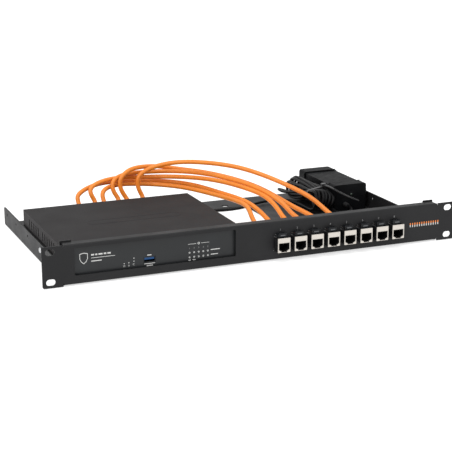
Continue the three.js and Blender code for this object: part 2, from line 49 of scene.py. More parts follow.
PLUG = {"length": 34.0, "firewall_y": 166.0, "panel_y": 12.0}
LEAD_RADIUS = 2.7
DC_RADIUS = 1.8
USB = {"x": -125.5, "z": 16.9}
DC = {"x": -40.0, "z": 13.5}
PRINT = 0.05
LINK_LIGHTS = {"first": -80.9, "pitch": 5.2, "count": 5}
MARK = {"first": 183.6, "pitch": 3.0, "count": 13, "width": 1.2, "low": 19.2, "middle": 21.6, "high": 24.0}
EMBOSS = {"x": -112.0, "y": 92.0, "half": 46.0, "radius": 8.5, "width": 1.5, "slope": 0.45, "proud": 0.16}
RIVET = {"z": 1.5, "head": [(-0.1, 2.2), (0.35, 2.1), (0.75, 1.4), (0.85, 0.5)]}
ADAPTER_LIGHT = (190.5, 154.2, 22.2)
INLET = {"x": 189.25, "z": 17.5, "pin_half_width": 1.12, "pin_half_height": 2.12}
CAMERA = {
    "azimuth": -22.367, "elevation": 15.333, "roll": -0.199, "lens": 101.46,
    "place": (-0.5362, -1.3319, 0.4019),
}


def at(x, y, z):
    """A point of the CAD's millimetres as metres in the frame."""
    return Vector((x / 1000, (y + Y_SHIFT) / 1000, z / 1000))


def coupler_x(i):
    """The middle of a coupler, counted from the left."""
    return COUPLER["first"] + COUPLER["pitch"] * i


def port_x(i):
    """The middle of a rear port, counted from the left as seen from the front."""
    return PORT["first"] + PORT["pitch"] * i


# ---- camera ----
def make_camera():
    """The camera that sees the object as the photo shows it."""
    azimuth = math.radians(CAMERA["azimuth"])
    elevation = math.radians(CAMERA["elevation"])
    roll = math.radians(CAMERA["roll"])
    back = Vector((
        math.sin(azimuth) * math.cos(elevation),
        -math.cos(azimuth) * math.cos(elevation),
        math.sin(elevation),
    ))
    level = Vector((math.cos(azimuth), math.sin(azimuth), 0))
    upright = back.cross(level)
    right = math.cos(roll) * level + math.sin(roll) * upright
    up = -math.sin(roll) * level + math.cos(roll) * upright
    data = bpy.data.cameras.new("photo_camera")
    data.sensor_width = 36
    data.lens = CAMERA["lens"]
    data.clip_end = 50
    camera = bpy.data.objects.new("photo_camera", data)
    bpy.context.scene.collection.objects.link(camera)
    turn = Matrix((right, up, back)).transposed().to_4x4()
    camera.matrix_world = Matrix.Translation(CAMERA["place"]) @ turn
    bpy.context.scene.camera = camera


# ---- curves ----
def smooth_route(points, steps):
    """Centripetal Catmull-Rom points through a list of route points."""
    points = [Vector(p) for p in points]
    ends = [2 * points[0] - points[1], *points, 2 * points[-1] - points[-2]]
    out = []
    for i in range(1, len(ends) - 2):
        p0, p1, p2, p3 = ends[i - 1:i + 3]
        t1 = (p1 - p0).length ** 0.5
        t2 = t1 + (p2 - p1).length ** 0.5
        t3 = t2 + (p3 - p2).length ** 0.5
        for k in range(steps):
            t = t1 + (t2 - t1) * k / steps
            a1 = p0 * ((t1 - t) / t1) + p1 * (t / t1)
            a2 = p1 * ((t2 - t) / (t2 - t1)) + p2 * ((t - t1) / (t2 - t1))
            a3 = p2 * ((t3 - t) / (t3 - t2)) + p3 * ((t - t2) / (t3 - t2))
            b1 = a1 * ((t2 - t) / t2) + a2 * (t / t2)
            b2 = a2 * ((t3 - t) / (t3 - t1)) + a3 * ((t - t1) / (t3 - t1))
            out.append(b1 * ((t2 - t) / (t2 - t1)) + b2 * ((t - t1) / (t2 - t1)))
    out.append(points[-1])
    return out


def relaxed(places, passes):
    """Lets a line of points spring out of its tightest corners, with its ends held."""
    for _ in range(passes):
        inner = [0.25 * a + 0.5 * b + 0.25 * c for a, b, c in zip(places, places[1:], places[2:])]
        places = [places[0], *inner, places[-1]]
    return places


def cord_curve(name, route, radius, steps, passes):
    """A round cord of one open spline along a route in millimetres."""
    places = relaxed([at(*p) for p in smooth_route(route, steps)], passes)
    data = bpy.data.curves.new(name, "CURVE")
    data.dimensions = "3D"
    data.bevel_depth = radius / 1000
    data.bevel_resolution = 5
    data.use_fill_caps = True
    spline = data.splines.new("POLY")
    spline.points.add(len(places) - 1)
    for point, place in zip(spline.points, places):
        point.co = (*place, 1)
    cord = bpy.data.objects.new(name, data)
    bpy.context.scene.collection.objects.link(cord)
    length = sum((b - a).length for a, b in zip(places, places[1:]))
    return cord, length


# The route of each patch lead between its two boots, from the rear port to the coupler.
LEADS = [
    {"port": 2, "coupler": 0, "route": [
        (-108, 221, 27.5), (-109, 224, 35.5), (-103, 229, 40.5), (-86, 236, 42.5), (-55, 238, 40),
        (-30, 228, 38.5), (-7, 203, 38), (14, 168, 35.5), (25, 116, 37.5), (25, 92, 36), (22, 76, 29.5)]},
    {"port": 0, "coupler": 1, "route": [
        (-139, 221, 27.5), (-140, 224, 35.5), (-131, 229, 41), (-110, 240, 44.5), (-81, 245, 44.5),
        (-49, 246, 41.5), (-22, 237, 40.5), (3, 210, 39.5), (21, 175, 36.5), (32, 122, 37.5), (36, 97, 34),
        (39, 76, 28)]},
    {"port": 1, "coupler": 2, "route": [
        (-118, 221, 26.5), (-123, 223, 36), (-123, 226, 43), (-112, 230, 48.5), (-86, 238, 50.5),
        (-54, 240, 48), (-29, 230, 48.5), (-3, 205, 50.5), (20, 172, 51.5), (42, 131, 48), (53, 104, 43.5),
        (58, 86, 34.5), (59, 75, 28)]},
    {"port": 3, "coupler": 3, "route": [
        (-89, 221, 27.5), (-94, 223, 35.5), (-96, 225, 44.5), (-91, 228, 52), (-74, 235, 55),
        (-52, 238, 54.5), (-25, 230, 55), (2, 205, 56.5), (26, 171, 55.5), (48, 131, 51), (58, 105, 45.5),
        (67, 87, 37.5), (72, 73, 28)]},
    {"port": 4, "coupler": 4, "route": [
        (-79, 221, 27.5), (-85, 222, 37), (-87, 223, 46.5), (-84, 223, 55), (-73, 226, 62), (-54, 231, 63),
        (-32, 238, 60), (-5, 233, 55), (17, 205, 55), (43, 171, 51), (61, 140, 45.5), (73, 115, 38),
        (83, 93, 31), (92, 77, 26.5)]},
    {"port": 5, "coupler": 5, "route": [
        (-59, 220, 28), (-63, 221, 36), (-65, 222, 45), (-63, 222, 53.5), (-55, 222, 59.5), (-41, 221, 64.5),
        (-19, 211, 69.5), (7, 189, 71.5), (39, 158, 69.5), (66, 128, 61), (89, 105, 50), (105, 90, 40),
        (116, 75, 27.5)]},
]


def lead_points(lead):
    """The whole route of a patch lead, with the straight bit that leaves each boot."""
    x, y, z = port_x(lead["port"]), PLUG["firewall_y"] + PLUG["length"] + 0.3, PORT["z"]
    start = [(x, y, z), (x, y + 3, z + 0.1), (x, y + 9, z + 1.6)]
    x, y, z = coupler_x(lead["coupler"]), PLUG["panel_y"] + PLUG["length"] + 0.3, SOCKET["z"]
    end = [(x, y + 9, z + 1), (x, y + 3, z + 0.1), (x, y, z)]
    return [*start, *lead["route"], *end]


ADAPTER_ROUTE = [
    (182, 144.7, 10), (181.5, 137, 9), (177.5, 130.5, 7.6), (171, 129, 6.6), (164.8, 134.5, 6),
    (163, 144.3, 5.7),
]
DEVICE_ROUTE = [
    (120, 226.5, 5), (105, 226, 4.6), (90, 221, 4.6), (67, 206, 5), (36, 200, 6), (8, 204, 8),
    (-16, 214, 11), (-32, 217, 13), (-40, 211, 13.5), (-40, 202.3, 13.5),
]
# Each turn of the hank, from the adapter's side outwards. An end gives (x of the top run, its height, and the
# y where the turn is furthest out). The foot is the (x, z) that the far end rises from.
TURNS = [
    {"near": (163.2, 24.0, 147.2), "foot": (160.4, 5.3), "far": (160.4, 26.0, 244.5)},
    {"near": (159.2, 26.6, 148.2), "foot": (157.0, 5.3), "far": (157.1, 29.0, 246.0)},
    {"near": (155.0, 28.4, 149.6), "foot": (153.6, 5.3), "far": (153.8, 30.3, 247.5)},
    {"near": (150.6, 29.6, 148.8), "foot": (150.2, 5.3), "far": (150.4, 28.6, 247.0)},
    {"near": (146.0, 30.2, 151.0), "foot": (146.8, 5.3), "far": (145.4, 24.6, 246.8)},
    {"near": (141.6, 29.6, 150.2), "foot": (145.6, 9.4), "far": (131.6, 14.6, 247.0)},
]
HANK = {
    "low": 5.3, "near_low": 8.2, "pitch": 3.8, "right": 163.0, "start": 155.0,
    "tie_y": 172.0, "tie_right": 160.4, "tie_top": 28.4, "tie_slope": 0.16,
}
# The points that make a fold round: how far out they are, and their shares of its height.
FOLD = {"along": 0.72, "low_share": 0.15, "high_share": 0.85}


def hank_waist(k):
    """Where strand k is under the tie: its x, the height of its top run and that of its lower run."""
    waist = HANK["tie_right"] - HANK["pitch"] * k
    over = HANK["tie_top"] + HANK["tie_slope"] * (waist - HANK["tie_right"])
    return waist, over, over - HANK["pitch"]


def far_half(turn, k, start):
    """One turn from its near end's bottom, through the tie, round the far end and back to the tie."""
    base = HANK["right"] - HANK["pitch"] * k
    waist, over, under = hank_waist(k)
    tie_y = HANK["tie_y"]
    near_low = HANK["near_low"]
    x, top, end = turn["far"]
    foot, foot_z = turn["foot"]
    radius = math.hypot(foot - x, top - foot_z) / 2
    y1 = end - radius
    bulge = y1 + FOLD["along"] * radius
    low, high = FOLD["low_share"], FOLD["high_share"]
    return [
        (base, start, near_low),
        ((base + waist) / 2, (start + tie_y) / 2, near_low + 7.2),
        (waist, tie_y + 1, under),
        (waist, 185, under - 3.5),
        ((foot + waist) / 2, 203, foot_z + 6),
        (foot, y1 - 10, foot_z),
        (foot, y1, foot_z),
        (foot + low * (x - foot), bulge, foot_z + low * (top - foot_z)),
        ((foot + x) / 2, end, (foot_z + top) / 2),
        (foot + high * (x - foot), bulge, foot_z + high * (top - foot_z)),
        (x, y1, top),
        (x, y1 - 14, top),
        ((x + waist) / 2, 196, (over + top) / 2 + 0.8),
        (waist, tie_y, over),
    ]


def near_fold(turn, after):
    """The fold that brings a turn's top run down to where the next turn starts, and that place's y."""
    near_low = HANK["near_low"]
    x, top, end = turn["near"]
    middle = (near_low + top) / 2
    radius = (top - near_low) / 2
    y0 = end + radius
    inner = y0 - FOLD["along"] * radius
    points = [
        (x, y0 - 0.15 * radius, top - 0.3),
        (x, inner, middle + 0.7 * radius),
        ((x + after) / 2, end, middle),
        (after, inner, middle - 0.7 * radius),
    ]
    return points, y0 - 0.5


def hank_points():
    """Turns that stand upright side by side, drawn together where the tie holds them."""
    start = HANK["start"]
    out = []
    for k, turn in enumerate(TURNS):
        out += far_half(turn, k, start)
        after = HANK["right"] - HANK["pitch"] * k - HANK["pitch"]
        fold, start = near_fold(turn, after)
        out += fold
    low = HANK["low"]
    last = HANK["right"] - HANK["pitch"] * len(TURNS)
    out += [
        (last, 160, low), (last - 0.6, 185, low + 0.1), (last - 3.2, 203, low), (last - 6.8, 216, low),
        (last - 12.5, 223.5, low),
    ]
    return out


def make_cords():
    """Every free cord, with its length and the place where it leaves its first plug."""
    made = {}
    for i, lead in enumerate(LEADS):
        route = lead_points(lead)
        cord, length = cord_curve(f"orange_lead_{i + 1}", route, LEAD_RADIUS, steps=10, passes=24)
        made[i + 1] = (cord, length, at(*route[0]))
    route = [*ADAPTER_ROUTE, *hank_points(), *DEVICE_ROUTE]
    cord, length = cord_curve("adapter_lead", route, DC_RADIUS, steps=7, passes=12)
    made["dc"] = (cord, length, at(*route[0]))
    return made


# ---- materials ----
class Look:
    """One material, whose base colour, roughness and normal are built up in layers."""

    def __init__(self, name, colour, roughness, metallic=0.0):
        self.material = bpy.data.materials.new(name)
        self.material.use_nodes = True
        self.tree = self.material.node_tree
        self.shader = self.tree.nodes["Principled BSDF"]
        self.set("Base Color", (*colour, 1))
        self.set("Roughness", roughness)
        self.set("Metallic", metallic)
        self.material.diffuse_color = (*colour, 1)
        self.place = self.node("ShaderNodeTexCoord").outputs["Object"]
        self.colour = None
        self.start = (*colour, 1)
        self.normal = None

    def node(self, kind):
        """A new shader node."""
        return self.tree.nodes.new(kind)

    def link(self, a, b):
        """Joins an output to an input."""
        self.tree.links.new(a, b)

    def set(self, socket, value):
        """An even value, set on the shader itself."""
        self.shader.inputs[socket].default_value = value

    def noise(self, scale, detail=3.0, stretch=(1, 1, 1)):
        """Cloudy noise, drawn out along an axis if asked."""
        place = self.node("ShaderNodeMapping")
        place.inputs["Scale"].default_value = stretch
        self.link(self.place, place.inputs["Vector"])
        noise = self.node("ShaderNodeTexNoise")
        noise.inputs["Scale"].default_value = scale
        noise.inputs["Detail"].default_value = detail
        self.link(place.outputs["Vector"], noise.inputs["Vector"])
        return noise.outputs["Fac"]

    def cells(self, scale):
        """Distance to the nearest of many scattered points."""
        cells = self.node("ShaderNodeTexVoronoi")
        cells.inputs["Scale"].default_value = scale
        self.link(self.place, cells.inputs["Vector"])
        return cells.outputs["Distance"]

    def waves(self, scale, direction, distortion=0.0):
        """Bands along a direction, straight or wandering."""
        waves = self.node("ShaderNodeTexWave")
        waves.bands_direction = direction
        waves.inputs["Scale"].default_value = scale
        waves.inputs["Distortion"].default_value = distortion
        self.link(self.place, waves.inputs["Vector"])
        return waves.outputs["Fac"]

    def between(self, source, low, high, to_low=0.0, to_high=1.0):
        """A span of the source, mapped to another span."""
        span = self.node("ShaderNodeMapRange")
        span.inputs["From Min"].default_value = low
        span.inputs["From Max"].default_value = high
        span.inputs["To Min"].default_value = to_low
        span.inputs["To Max"].default_value = to_high
        self.link(source, span.inputs["Value"])
        return span.outputs["Result"]

    def tint(self, mask, colour):
        """Lays a colour over what is there, where the mask is 1."""
        mix = self.node("ShaderNodeMix")
        mix.data_type = "RGBA"
        self.link(mask, mix.inputs[0])
        if self.colour is None:
            mix.inputs[6].default_value = self.start
        else:
            self.link(self.colour, mix.inputs[6])
        mix.inputs[7].default_value = (*colour, 1)
        self.colour = mix.outputs[2]
        self.link(self.colour, self.shader.inputs["Base Color"])

    def vary_roughness(self, source, low, high):
        """Roughness that follows a source."""
        self.link(self.between(source, 0.3, 0.7, low, high), self.shader.inputs["Roughness"])

    def soft_edges(self, radius):
        """Edges that catch the light as if rounded, by a radius in millimetres."""
        bevel = self.node("ShaderNodeBevel")
        bevel.samples = 4
        bevel.inputs["Radius"].default_value = radius / 1000
        self.normal = bevel.outputs["Normal"]
        self.link(self.normal, self.shader.inputs["Normal"])

    def bump(self, source, strength, depth):
        """Adds fine relief, with its depth in millimetres."""
        bump = self.node("ShaderNodeBump")
        bump.inputs["Strength"].default_value = strength
        bump.inputs["Distance"].default_value = depth / 1000
        self.link(source, bump.inputs["Height"])
        if self.normal is not None:
            self.link(self.normal, bump.inputs["Normal"])
        self.normal = bump.outputs["Normal"]
        self.link(self.normal, self.shader.inputs["Normal"])


def rack_steel():
    """Powder coat on sheet steel: fine orange peel, faint paler flecks, dust in soft patches."""
    look = Look("rack_powder_coat", (0.0105, 0.0105, 0.0112), 0.52)
    look.set("Specular IOR Level", 0.22)
    look.soft_edges(0.5)
    look.tint(look.between(look.noise(14, 4), 0.42, 0.7), (0.013, 0.013, 0.0138))
    look.tint(look.between(look.noise(2600, 2), 0.66, 0.74), (0.032, 0.033, 0.035))
    look.vary_roughness(look.noise(45, 5), 0.47, 0.59)
    look.bump(look.noise(1700, 2), 0.22, 0.12)
    look.bump(look.noise(5200, 1), 0.12, 0.05)
    return look.material


def case_paint():
    """Warm grey satin paint of the appliance's case."""
    look = Look("case_paint", (0.0165, 0.0152, 0.0156), 0.6)
    look.set("Specular IOR Level", 0.1)
    look.soft_edges(0.5)
    look.tint(look.between(look.noise(9, 4), 0.3, 0.8), (0.0176, 0.0162, 0.0166))
    look.tint(look.between(look.noise(3400, 2), 0.62, 0.72), (0.036, 0.033, 0.034))
    look.vary_roughness(look.noise(28, 5), 0.58, 0.64)
    look.bump(look.noise(2900, 2), 0.3, 0.1)
    return look.material


def fascia_film():
    """Smooth dark front film with a little cool sheen."""
    look = Look("fascia_film", (0.0125, 0.0135, 0.0145), 0.42)
    look.set("Specular IOR Level", 0.32)
    look.soft_edges(0.4)
    look.tint(look.between(look.noise(20, 3), 0.4, 0.75), (0.015, 0.017, 0.0185))
    look.vary_roughness(look.noise(90, 4), 0.34, 0.44)
    look.bump(look.noise(4200, 2), 0.1, 0.05)
    return look.material


def board_green():
    """Solder mask with paler tracks and small pads."""
    look = Look("board", (0.012, 0.09, 0.035), 0.35)
    tracks = look.waves(260, "X", 6.0)
    look.tint(look.between(tracks, 0.72, 0.8), (0.03, 0.16, 0.06))
    pads = look.cells(320)
    look.tint(look.between(pads, 0.16, 0.1), (0.62, 0.6, 0.55))
    look.bump(tracks, 0.3, 0.1)
    return look.material


def nickel(name, colour, rough):
    """Bright plated sheet with fine brush lines."""
    look = Look(name, colour, rough, 1.0)
    look.soft_edges(0.25)
    brushed = look.noise(900, 3, (1, 1, 12))
    look.tint(look.between(look.noise(60, 3), 0.45, 0.75), tuple(0.9 * c for c in colour))
    look.vary_roughness(brushed, rough - 0.06, rough + 0.1)
    look.bump(brushed, 0.12, 0.04)
    return look.material


def coupler_body():
    """Black moulded coupler whose face is a bright plated shield."""
    metal = (0.6, 0.565, 0.515)
    look = Look("coupler_body", (0.006, 0.006, 0.0065), 0.4)
    look.soft_edges(0.2)
    parts = look.node("ShaderNodeSeparateXYZ")
    look.link(look.place, parts.inputs["Vector"])
    face = (COUPLER["front"] + Y_SHIFT + 0.35) / 1000
    mask = look.between(parts.outputs["Y"], face, face - 0.0001)
    look.tint(look.between(look.noise(60, 3), 0.45, 0.75), (0.009, 0.009, 0.0095))
    look.tint(mask, metal)
    look.link(mask, look.shader.inputs["Metallic"])
    look.vary_roughness(look.noise(900, 3, (12, 1, 1)), 0.32, 0.46)
    look.bump(look.noise(900, 3, (12, 1, 1)), 0.12, 0.04)
    return look.material


def moulded(name, colour, rough, grain=2400, depth=0.06, gloss=0.3):
    """Moulded plastic with a fine spark-eroded grain."""
    look = Look(name, colour, rough)
    look.set("Specular IOR Level", gloss)
    look.soft_edges(0.35)
    paler = tuple(1.45 * c + 0.002 for c in colour)
    look.tint(look.between(look.noise(40, 3), 0.45, 0.75), paler)
    look.vary_roughness(look.noise(160, 4), rough - 0.05, rough + 0.07)
    look.bump(look.noise(grain, 3), 0.3, depth)
    return look.material


def rubber():
    """Matt rubber of the feet."""
    look = Look("rubber", (0.012, 0.012, 0.012), 0.85)
    look.tint(look.between(look.noise(300, 4), 0.5, 0.8), (0.03, 0.03, 0.03))
    look.bump(look.noise(1800, 4), 0.5, 0.12)
    return look.material


def orange_jacket():
    """Soft PVC jacket: matt, with the faint lumps of the twisted pairs inside and light scuffs."""
    look = Look("orange_jacket", (0.7, 0.2, 0.016), 0.42)
    look.set("Specular IOR Level", 0.42)
    look.tint(look.between(look.noise(55, 3), 0.42, 0.72), (0.73, 0.225, 0.021))
    look.tint(look.between(look.noise(420, 5), 0.64, 0.8), (0.62, 0.16, 0.012))
    look.vary_roughness(look.noise(130, 4), 0.36, 0.5)
    look.bump(look.noise(120, 2), 0.25, 0.3)
    look.bump(look.noise(2600, 3), 0.15, 0.04)
    return look.material


def black_jacket():
    """Thin satin jacket of the adapter's lead."""
    look = Look("black_jacket", (0.003, 0.003, 0.0034), 0.34)
    look.set("Specular IOR Level", 0.14)
    look.tint(look.between(look.noise(80, 3), 0.45, 0.75), (0.008, 0.008, 0.0085))
    look.vary_roughness(look.noise(300, 4), 0.3, 0.46)
    look.bump(look.noise(1500, 3), 0.2, 0.06)
    return look.material


def ink(name, colour):
    """Screen-printed ink, slightly broken along its surface."""
    look = Look(name, colour, 0.55)
    look.tint(look.between(look.noise(2200, 3), 0.55, 0.85), tuple(0.7 * c for c in colour))
    look.bump(look.noise(3000, 2), 0.2, 0.02)
    return look.material


def lens(name, colour):
    """Small moulded light lens."""
    look = Look(name, colour, 0.25)
    look.tint(look.between(look.noise(900, 2), 0.5, 0.8), tuple(0.8 * c for c in colour))
    look.set("Coat Weight", 0.5)
    look.set("Transmission Weight", 0.15)
    return look.material


def gold():
    """Gold plating of the socket springs."""
    look = Look("contact_gold", (0.86, 0.6, 0.24), 0.22, 1.0)
    look.vary_roughness(look.noise(900, 3), 0.16, 0.32)
    look.bump(look.noise(2500, 2), 0.1, 0.02)
    return look.material


def floor_white():
    """A floor that glows a little, so that it stays white round the object."""
    look = Look("pale_floor", (0.5, 0.5, 0.5), 0.8)
    look.tint(look.between(look.noise(3, 3), 0.4, 0.7), (0.52, 0.52, 0.52))
    look.set("Specular IOR Level", 0.1)
    look.set("Emission Color", (1, 1, 1, 1))
    look.set("Emission Strength", 0.62)
    return look.material


# ---- mesh building ----
class Shape:
    """A small mesh made up of several bodies, in the CAD's millimetres."""

    def __init__(self):
        self.bm = bmesh.new()
        self.index = 0

    def loft(self, rings, close_ends=True, smooth=False):
        """Faces between rings of corners, one ring after another."""
        rows = [[self.bm.verts.new(at(*c)) for c in ring] for ring in rings]
        for a, b in zip(rows, rows[1:]):
            for i in range(len(a)):
                j = (i + 1) % len(a)
                made = self.bm.faces.new((a[i], a[j], b[j], b[i]))
                made.material_index = self.index
                made.smooth = smooth
        if close_ends:
            for row in (rows[0], rows[-1]):
                made = self.bm.faces.new(row)
                made.material_index = self.index

    def block(self, x0, x1, y0, y1, z0, z1):
        """A box."""
        self.loft([[(x0, y, z0), (x1, y, z0), (x1, y, z1), (x0, y, z1)] for y in (y0, y1)])

    def lathe(self, centre, axis, profile, sides=24):
        """A turned body: profile is (distance along the axis, radius)."""
        along = {"x": Vector((1, 0, 0)), "y": Vector((0, 1, 0)), "z": Vector((0, 0, 1))}[axis]
        side = {"x": Vector((0, 1, 0)), "y": Vector((0, 0, 1)), "z": Vector((1, 0, 0))}[axis]
        other = along.cross(side)
        rings = []
        for distance, radius in profile:
            ring = []
            for k in range(sides):
                a = 2 * math.pi * k / sides
                outwards = side * math.cos(a) + other * math.sin(a)
                ring.append(Vector(centre) + along * distance + radius * outwards)
            rings.append(ring)
        self.loft(rings, smooth=True)

    def rib(self, centre, axis, radius, width, proud):
        """A rounded ring round a turned neck."""
        profile = [
            (-width, radius - 0.3), (-0.75 * width, radius + 0.6 * proud),
            (-0.3 * width, radius + proud), (0.3 * width, radius + proud),
            (0.75 * width, radius + 0.6 * proud), (width, radius - 0.3),
        ]
        self.lathe(centre, axis, profile)

    def outline(self, points, y0, y1):
        """A flat outline in X and Z with a thickness along Y."""
        self.loft([[(x, y, z) for x, z in points] for y in (y0, y1)])

    def band(self, centre, r0, r1, a0, a1, y0, y1, steps=20):
        """Part of a flat ring that faces along Y. Angles are in degrees."""
        cx, cz = centre
        angles = [math.radians(a0 + (a1 - a0) * k / steps) for k in range(steps + 1)]
        for a, b in zip(angles, angles[1:]):
            corners = [(r0, a), (r1, a), (r1, b), (r0, b)]
            self.outline([(cx + r * math.cos(t), cz + r * math.sin(t)) for r, t in corners], y0, y1)

    def finish(self, name, looks, body=ROOT, bevel=0.0):
        """Makes the piece and puts it on its body."""
        bmesh.ops.recalc_face_normals(self.bm, faces=self.bm.faces)
        mesh = bpy.data.meshes.new(name)
        self.bm.to_mesh(mesh)
        self.bm.free()
        for look in looks:
            mesh.materials.append(look)
        piece = bpy.data.objects.new(name, mesh)
        bpy.context.scene.collection.objects.link(piece)
        if bevel:
            edge = piece.modifiers.new("edge", "BEVEL")
            edge.width = bevel / 1000
            edge.segments = 2
            edge.limit_method = "ANGLE"
        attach(piece, body)
        return piece


def lettering(name, texts, size, look, rear=False):
    """Small numerals, each (text, x, y, z), joined into one piece."""
    bm = bmesh.new()
    for body, x, y, z in texts:
        data = bpy.data.curves.new(name, "FONT")
        data.body = body
        data.size = size / 1000
        data.align_x = "CENTER"
        data.align_y = "CENTER"
        data.extrude = PRINT / 1000
        data.resolution_u = 3
        text = bpy.data.objects.new(name + "_text", data)
        bpy.context.scene.collection.objects.link(text)
        mesh = bpy.data.meshes.new_from_object(text.evaluated_get(bpy.context.evaluated_depsgraph_get()))
        turn = Matrix.Rotation(math.pi / 2, 4, "X")
        if rear:
            turn = Matrix.Rotation(math.pi, 4, "Z") @ turn
        mesh.transform(Matrix.Translation(at(x, y, z)) @ turn)
        bm.from_mesh(mesh)
        bpy.data.objects.remove(text)
        bpy.data.meshes.remove(mesh)
    mesh = bpy.data.meshes.new(name)
    bm.to_mesh(mesh)
    bm.free()
    mesh.materials.append(look)
    piece = bpy.data.objects.new(name, mesh)
    bpy.context.scene.collection.objects.link(piece)
    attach(piece, ROOT)
    return piece


# ---- finishes on the CAD nodes ----
def finish_nodes(look):
    """Gives each CAD node the material of what it is made of."""
    kinds = {
        "steel": ["front_panel", "base_pan", "left_arm", "right_arm"],
        "case": ["firewall_base", "firewall_cover"],
        "film": ["firewall_fascia"],
        "board": ["main_board"],
        "jack": ["rear_jack_block"],
        "usb": ["usb_port"],
        "screw": ["arm_screw"],
        "rubber": [f"firewall_foot_{i}" for i in range(1, 5)],
        "black": ["dc_jack", "reset_button", "ac_inlet", "dc_strain_relief", "dc_plug"],
        "shell": ["adapter_lower", "adapter_upper"],
        "boot": [f"{end}_plug_{i}" for end in ("firewall", "panel") for i in range(1, 7)],
        "coupler": [f"coupler_{i}" for i in range(1, 9)],
        "latch": [f"coupler_latch_{i}" for i in range(1, 9)],
    }
    for kind, names in kinds.items():
        for name in names:
            nodes[name].material_slots[0].material = look[kind]


# ---- couplers ----
def socket_outline(x, z, inset):
    """The outline of an RJ45 opening, with its steps at the bottom, drawn in by a small inset."""
    w = SOCKET["width"] / 2 - inset
    h = SOCKET["height"] / 2 - inset
    step, notch = 4.6 - inset, 3.1 - inset
    left = [(-w, h), (-w, -h), (-step, -h), (-step, -(h + 0.9)), (-notch, -(h + 0.9)), (-notch, -(h + 2.2))]
    right = [(-a, b) for a, b in reversed(left)]
    return [(x + a, z + b) for a, b in [*left, *right]]


def socket_insert(name, look, x, mouth, inward):
    """The black lining of an RJ45 opening with its rim and its eight gold springs."""
    shape = Shape()
    z = SOCKET["z"]
    deep = mouth + inward * SOCKET["depth"]
    lip = mouth + inward * 0.35
    seat = mouth + inward * 0.02
    proud = mouth - inward * 0.08
    outer = socket_outline(x, z, 0.04)
    inner = socket_outline(x, z, 0.4)
    rim = socket_outline(x, z, -0.3)
    rows = [(rim, seat), (rim, proud), (outer, proud), (outer, seat), (rim, seat)]
    shape.loft([[(a, y, b) for a, b in outline] for outline, y in rows], close_ends=False)
    rows = [(outer, deep), (outer, lip), (inner, lip), (inner, deep - inward * 0.4)]
    shape.loft([[(a, y, b) for a, b in outline] for outline, y in rows])
    shape.index = 1
    for k in range(8):
        cx = x + (k - 3.5) * 1.02
        rings = []
        for along, height in [(3.2, 3.0), (5.0, 2.4), (8.6, -0.4), (9.4, -0.9)]:
            y = mouth + inward * along
            low, high = z + height, z + (height + 0.3)
            rings.append([(cx - 0.2, y, low), (cx + 0.2, y, low), (cx + 0.2, y, high), (cx - 0.2, y, high)])
        shape.loft(rings)
    return shape.finish(name, [look["dark"], look["gold"]])


def latch_ribs(look, i):
    """Grip ribs, a pressing step and a smooth pad on a latch's thumb block; the pad's paler, glossier grey is
    a painted highlight.
    """
    shape = Shape()
    x = coupler_x(i)
    for k in range(3):
        z = 28.3 + 0.95 * k
        shape.block(x - 4.4, x + 4.4, -6.85, -6.4, z, z + 0.45)
    shape.block(x - 4.2, x + 4.2, -5.8, -1.9, 31.1, 31.5)
    shape.block(x - 1.2, x + 1.2, -6.8, -6.4, 26.9, 27.8)
    # The pad is paler and glossier than the latch: a painted highlight.
    shape.index = 1
    shape.block(x - 2.8, x + 2.8, -7.05, -6.45, 28.5, 30.0)
    name, body = f"latch_grip_highlight_{i + 1}", f"coupler_latch_{i + 1}_body"
    return shape.finish(name, [look["latch"], look["grip"]], body, 0.12)


def coupler_seams(look, i):
    """Folded shield tabs on a coupler's face, sides and underside."""
    shape = Shape()
    x = coupler_x(i)
    front = COUPLER["front"]
    shape.block(x - 6.9, x + 6.9, front - 0.12, front + 0.1, 22.2, 26.3)
    shape.block(x - 6.9, x - 6.25, front - 0.12, front + 0.1, 12.0, 22.1)
    shape.block(x + 6.25, x + 6.9, front - 0.12, front + 0.1, 12.0, 22.1)
    for side in (-1, 1):
        shape.block(x + side * 7.35 - 0.15, x + side * 7.35 + 0.15, 10.5, 21.0, 14.5, 23.5)
    shape.block(x - 4.0, x + 4.0, 10.0, 20.0, 10.85, 11.1)
    return shape.finish(f"coupler_shield_{i + 1}", [look["coupler"]], bevel=0.08)


# ---- plugs ----
def plug_detail(look, name, x, z, y0, up):
    """Boot ribs, the hood over the latch and the side grips of one RJ45 plug."""
    shape = Shape()
    for k in range(4):
        y = y0 + 25.4 + 2.1 * k
        radius = 4.4 - (y - y0 - 23.9) * 0.1
        shape.rib((x, y, z), "y", radius, 0.7, 0.5)
    s = 1 if up else -1
    low, high = z + s * 4.4, z + s * 6.1
    hood = [(14.8, 2.4, 1.9, high), (19, 2.6, 2.2, high), (23.6, 2.6, 2.2, low + s * 0.3)]
    rings = []
    for along, wide, narrow, top in hood:
        y = y0 + along
        rings.append([(x - wide, y, low), (x + wide, y, low), (x + narrow, y, top), (x - narrow, y, top)])
    shape.loft(rings)
    for side in (-1, 1):
        for k in range(4):
            y = y0 + 15.8 + 2.0 * k
            shape.block(x + side * 6.2 - 0.3, x + side * 6.2 + 0.3, y, y + 0.9, z - 2.6, z + 2.6)
    return shape.finish(name, [look["boot"]], bevel=0.15)


